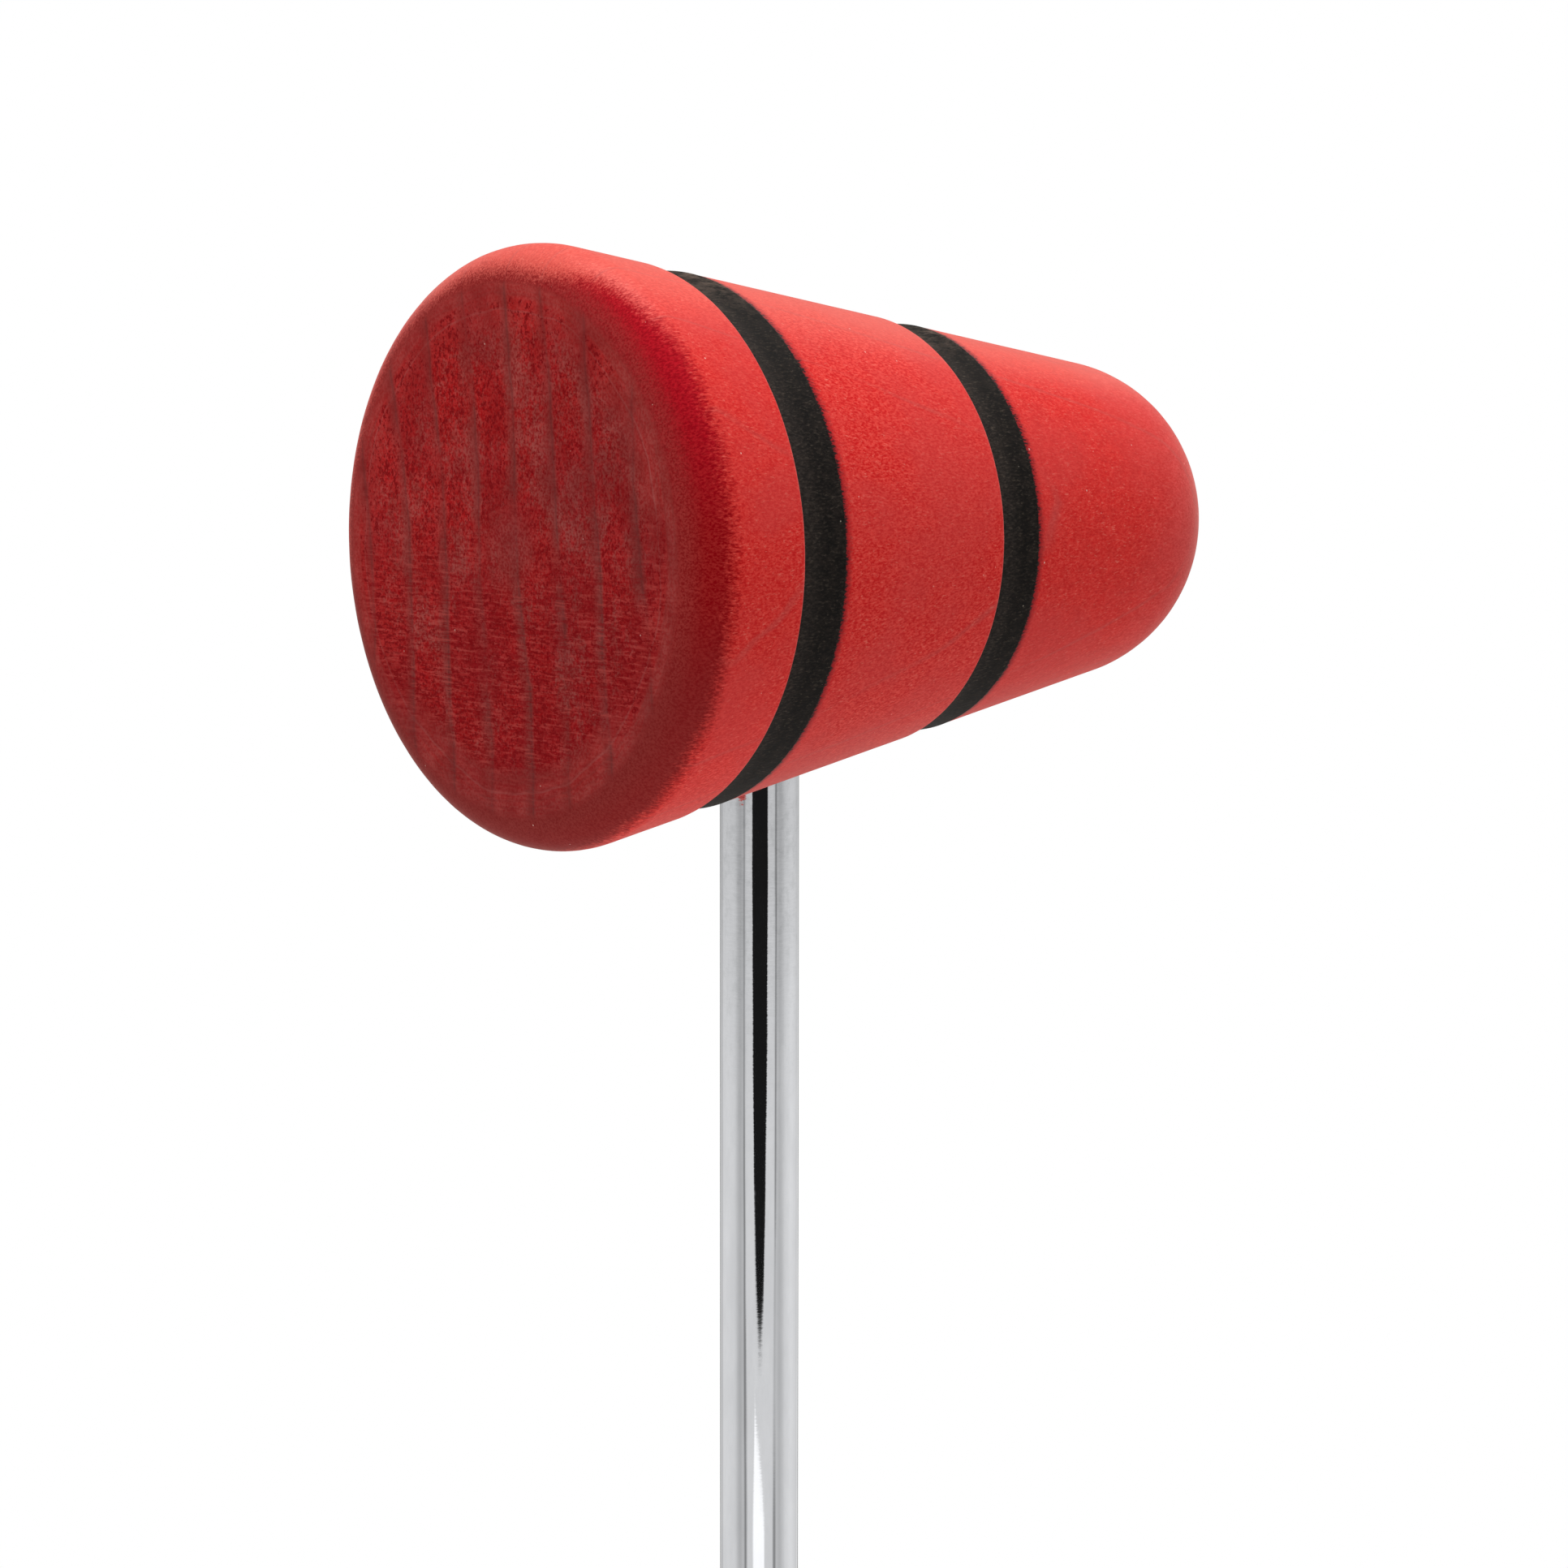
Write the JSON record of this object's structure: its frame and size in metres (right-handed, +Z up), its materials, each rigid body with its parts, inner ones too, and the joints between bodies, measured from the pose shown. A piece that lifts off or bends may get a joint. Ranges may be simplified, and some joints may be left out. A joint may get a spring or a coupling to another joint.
{
  "type": "bass drum beater",
  "caption": "Wooden bass drum beater: a turned, dyed cone head with a flat striking face, a rounded tail and painted grooves, glued on a straight chromed rod.",
  "frame": {"origin": "centre of the rod's lower end, where a pedal's hub takes hold of it", "axes": "+Z up the rod; the head's axis lies along Y with the striking face towards -Y; X runs across the head"},
  "size_m": [0.0586, 0.086, 0.2268],
  "materials": {
    "dyed_maple": "matt red dye on bare sanded maple",
    "black_paint": "matt black paint, brushed on wood",
    "chromed_steel": "bright chrome plate",
    "set_glue": "set resin glue"
  },
  "bodies": {
    "root": {"head": "dyed_maple", "front_band": "black_paint", "rear_band": "black_paint", "shaft": "chromed_steel", "glue_bed": "set_glue"}
  },
  "joints": []
}
